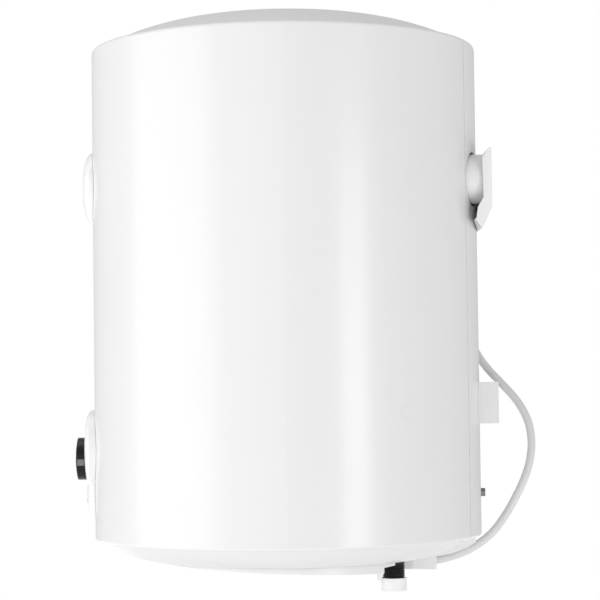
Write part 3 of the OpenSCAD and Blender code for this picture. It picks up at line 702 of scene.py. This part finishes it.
white = white_paint()
brass = plain("brass", (0.62, 0.42, 0.16), 0.3, metal=1.0)
copper = plain("copper", (0.72, 0.36, 0.2), 0.3, metal=1.0)
SURFACES = {
    "jacket_paint": white,
    "cap_plastic": cap_plastic(),
    "cover_plastic": cap_plastic(),
    "bracket_paint": bracket_paint(),
    "zinc_steel": zinc_steel(),
    "dark_screw": zinc_steel("dark_steel", (0.3, 0.3, 0.3), 0.4),
    "enamel_steel": enamel(),
    "foam": foam(),
    "black_rubber": rubber("black_rubber", (0.015, 0.015, 0.015)),
    "element_sheath": plain("element_sheath", (0.42, 0.36, 0.3), 0.4, metal=1.0),
    "brass": brass,
    "magnesium": plain("magnesium", (0.5, 0.5, 0.49), 0.6, metal=0.9),
    "dark_plastic": black_plastic("dark_plastic", 0.45),
    "copper": copper,
    "ivory_plastic": plain("ivory_plastic", (0.76, 0.71, 0.58), 0.4),
    "wire_sleeve": rubber("wire_sleeve", (0.4, 0.06, 0.04), 0.5),
    "pipe_steel": black_steel(),
    "cap_white": polythene(),
    "panel_plastic": panel_plastic(),
    "knob_plastic": black_plastic(),
    "lens_orange": glowing_lens(),
    "dial_print": plain("dial_print", (0.82, 0.82, 0.8), 0.5, amount=0.03),
    "gauge_case": plain("gauge_case", (0.6, 0.6, 0.6), 0.35, metal=1.0),
    "clear_lens": clear_window(),
    "needle_red": plain("needle_red", (0.6, 0.02, 0.015), 0.35),
    "cord_sleeve": lead_sheath(),
    "plug_plastic": rubber("plug_plastic", (0.72, 0.72, 0.723), 0.45),
    "nickel": plain("nickel", (0.7, 0.68, 0.63), 0.2, metal=1.0),
}


def smooth_shade(obj, angle=32):
    """Smooth shading that keeps true edges; the vertices aren't touched."""
    obj.data.shade_smooth()
    obj.data.set_sharp_from_angle(angle=math.radians(angle))


# Width of the rounding on edges that would be moulded or pressed, in mm
ROUNDED = {
    "wall_spacer": 0.7, "hanger_bracket": 0.4, "service_cover": 0.5, "control_knob": 0.3,
    "cord_gland": 0.3, "plug_body": 0.6, "gauge_bezel": 0.4,
}


def round_edges():
    """Small roundings on the CAD pieces, as modifiers."""
    for node, width in ROUNDED.items():
        modifier = frame["nodes"][node].modifiers.new("rounding", "BEVEL")
        modifier.width = width * MM
        modifier.segments = 2
        modifier.limit_method = "ANGLE"
        modifier.angle_limit = math.radians(50)
        modifier.harden_normals = True


def dress_frame():
    """Gives each CAD piece the surface of its slot in the record."""
    for part in frame["record"]["subparts"]:
        obj = frame["nodes"][part["node"]]
        obj.data.materials.clear()
        obj.data.materials.append(SURFACES[part["material_slot"]])
        smooth_shade(obj)


dress_frame()
round_edges()
# The knob pointer's grey; on the rim it also stands in for the rim's highlight, a painted highlight
OWN_PAINT = {"knob_pointer_and_highlight": plain("pointer_and_highlight_grey", (0.2, 0.2, 0.2), 0.4)}
for piece in pieces:
    piece.data.materials.append(OWN_PAINT.get(piece.name, SURFACES[piece["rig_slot"]]))
    smooth_shade(piece, 40)


# ---- floor and light -----------------------------------------------------------------------

FLOOR_DROP = 700
FLOOR_REACH = 3.2
FADE_FROM = 1.4
FLOOR_GLOW = 0.14
BACKDROP_GLOW = 1.0
# Bearing, distance, height and height aimed at, then size in metres and power in watts
SOFTBOXES = {
    "key": (-68, 2800, -100, 120, (3.0, 2.4), 40),
    "middle": (-14, 2600, 0, 120, (1.6, 2.4), 6),
    "strip": (39, 2300, 0, 100, (0.62, 1.2), 8.5),
    "top": (-100, 700, 2400, 300, (1.6, 1.6), 9),
}
FILL_GLOW = 0.55


def add_floor():
    """A plain floor well below the heater, which brightens to the backdrop's white at its edge."""
    mesh = bpy.data.meshes.new("floor")
    z = at(0, 0, -FLOOR_DROP).z
    r = FLOOR_REACH
    corners = [(-r, -r, z), (r, -r, z), (r, r, z), (-r, r, z)]
    mesh.from_pydata(corners, [], [(0, 1, 2, 3)])
    s = Shader("floor", (0.93, 0.93, 0.93), 0.9)
    s.set("Emission Color", (1, 1, 1, 1))
    s.mottle(2, 0.01)
    reach = s.node("ShaderNodeVectorMath", operation="LENGTH")
    s.join(s.place, reach.inputs[0])
    fade = s.node("ShaderNodeMapRange")
    fade.inputs["From Min"].default_value = FADE_FROM
    fade.inputs["From Max"].default_value = FLOOR_REACH
    fade.inputs["To Min"].default_value = FLOOR_GLOW
    fade.inputs["To Max"].default_value = 1.0
    s.join(reach.outputs["Value"], fade.inputs["Value"])
    s.join(fade.outputs["Result"], s.bsdf.inputs["Emission Strength"])
    mesh.materials.append(s.mat)
    link(bpy.data.objects.new("floor", mesh))


def add_softbox(name, bearing, distance, height, target_z, size, power):
    """An area light at a bearing from the +X side towards the wall, in degrees."""
    data = bpy.data.lights.new(name, "AREA")
    data.shape = "RECTANGLE"
    data.size, data.size_y = size
    data.energy = power
    lamp = link(bpy.data.objects.new(name, data))
    a = math.radians(bearing)
    lamp.location = at(distance * math.cos(a), distance * math.sin(a), height)
    aim = at(0, 0, target_z) - lamp.location
    lamp.rotation_euler = aim.to_track_quat("-Z", "Y").to_euler()


def add_world():
    """White where it is seen directly, and dimmer as the light that falls on the heater."""
    world = bpy.data.worlds.new("world")
    world.use_nodes = True
    tree = world.node_tree
    background = tree.nodes["Background"]
    background.inputs["Color"].default_value = (1, 1, 1, 1)
    path = tree.nodes.new("ShaderNodeLightPath")
    glow = tree.nodes.new("ShaderNodeMapRange")
    glow.inputs["To Min"].default_value = FILL_GLOW
    glow.inputs["To Max"].default_value = BACKDROP_GLOW
    tree.links.new(path.outputs["Is Camera Ray"], glow.inputs["Value"])
    tree.links.new(glow.outputs["Result"], background.inputs["Strength"])
    bpy.context.scene.world = world


add_floor()
add_world()
for name, values in SOFTBOXES.items():
    add_softbox(name, *values)
bpy.context.scene.view_settings.view_transform = "Standard"
